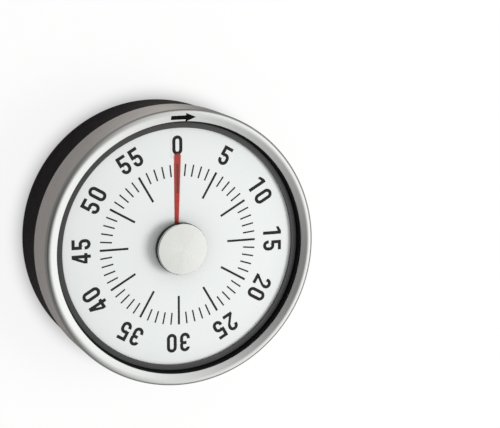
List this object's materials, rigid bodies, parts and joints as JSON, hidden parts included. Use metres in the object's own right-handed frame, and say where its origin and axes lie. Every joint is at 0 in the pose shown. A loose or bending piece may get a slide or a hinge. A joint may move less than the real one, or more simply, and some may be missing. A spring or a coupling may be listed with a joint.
{
  "type": "visual countdown timer",
  "caption": "Round dial timer: a steel ring turns to set minutes, draws a red sector over the white dial and winds a bell movement; magnetic back.",
  "frame": {"origin": "centre of the flat back face", "axes": "+Z out of the dial, +Y towards the 0 mark, so +X is towards the 15 mark"},
  "size_m": [0.078, 0.078, 0.0292],
  "materials": {
    "housing_black": "fine matt moulded black",
    "cover_black": "matt moulded black",
    "liner_black": "matt black",
    "turntable_grey": "satin dark grey",
    "ring_steel": "circular brushed stainless steel",
    "knob_steel": "turned stainless steel",
    "knob_black": "satin black",
    "dial_white": "smooth satin white",
    "print_black": "printed ink",
    "film_red": "translucent red film",
    "key_red": "moulded red",
    "screw_steel": "nickel plated",
    "frame_brass": "stamped brass",
    "wheel_brass": "cut brass",
    "arbor_steel": "ground steel",
    "bell_steel": "nickel plated pressed steel",
    "spring_steel": "blued spring steel",
    "magnet_black": "sintered ferrite"
  },
  "bodies": {
    "root": {"housing_shell": "housing_black", "inner_cover": "cover_black", "housing_screws": "screw_steel", "holding_magnet": "magnet_black", "magnet_keeper": "screw_steel", "bell": "bell_steel", "bell_nut": "screw_steel", "back_plate": "frame_brass", "front_plate": "frame_brass", "plate_pillars": "frame_brass", "pillar_screws": "screw_steel", "cover_screws": "screw_steel", "centre_post": "arbor_steel", "mainspring": "spring_steel", "hammer_spring": "spring_steel", "dial_hub": "cover_black", "dial_disc": "dial_white", "minute_marks": "print_black", "dial_numerals": "print_black", "knob_body": "knob_black", "knob_cap": "knob_steel"},
    "ring": {"steel_ring": "ring_steel", "ring_liner": "liner_black", "turntable": "turntable_grey", "turntable_screws": "screw_steel", "direction_arrow": "print_black", "main_arbor": "arbor_steel", "main_wheel": "wheel_brass", "ratchet_wheel": "arbor_steel", "bell_cam": "arbor_steel", "click_spring": "spring_steel"},
    "film": {"countdown_film": "film_red", "film_key": "key_red"},
    "click": {"click_pawl": "arbor_steel"},
    "second": {"second_arbor": "arbor_steel", "second_wheel": "wheel_brass"},
    "third": {"third_arbor": "arbor_steel", "third_wheel": "wheel_brass"},
    "escape": {"escape_arbor": "arbor_steel", "escape_wheel": "wheel_brass"},
    "balance": {"balance_staff": "arbor_steel", "pallet_anchor": "arbor_steel", "balance_wheel": "wheel_brass"},
    "hammer": {"hammer_staff": "arbor_steel", "hammer_lever": "arbor_steel", "hammer_arm": "arbor_steel"}
  },
  "joints": [
    {"name": "ring_turn", "type": "hinge", "parent": "root", "child": "ring", "pos_m": [0, 0, 0], "axis": [0, 0, -1], "range_deg": [0, 360]},
    {"name": "film_climb", "type": "slide", "parent": "ring", "child": "film", "axis": [0, 0, 1], "range_m": [0, 0.00061]},
    {"name": "second_spin", "type": "hinge", "parent": "root", "child": "second", "pos_m": [0.00675, -0.01169, 0], "axis": [0, 0, 1], "range_deg": [0, 1441]},
    {"name": "third_spin", "type": "hinge", "parent": "root", "child": "third", "pos_m": [0.01803, -0.00759, 0], "axis": [0, 0, -1], "range_deg": [0, 5764]},
    {"name": "escape_spin", "type": "hinge", "parent": "root", "child": "escape", "pos_m": [0.0162, 0.00275, 0], "axis": [0, 0, 1], "range_deg": [0, 23056]},
    {"name": "balance_swing", "type": "hinge", "parent": "root", "child": "balance", "pos_m": [0.01747, 0.00993, 0], "axis": [0, 0, 1], "range_deg": [-8, 8]},
    {"name": "hammer_swing", "type": "hinge", "parent": "root", "child": "hammer", "pos_m": [-0.018, 0.008, 0], "axis": [0, 0, -1], "range_deg": [0, 8], "stiffness_Nm_per_rad": 0.01},
    {"name": "click_lift", "type": "hinge", "parent": "ring", "child": "click", "pos_m": [-0.00779, -0.00363, 0], "axis": [0, 0, -1], "range_deg": [0, 12], "stiffness_Nm_per_rad": 0.002}
  ],
  "couplings": [
    {"joint": "film_climb", "follows": "ring_turn", "m_per_rad": 0.000095493},
    {"joint": "second_spin", "follows": "ring_turn", "ratio": 4},
    {"joint": "third_spin", "follows": "ring_turn", "ratio": 16},
    {"joint": "escape_spin", "follows": "ring_turn", "ratio": 64}
  ]
}
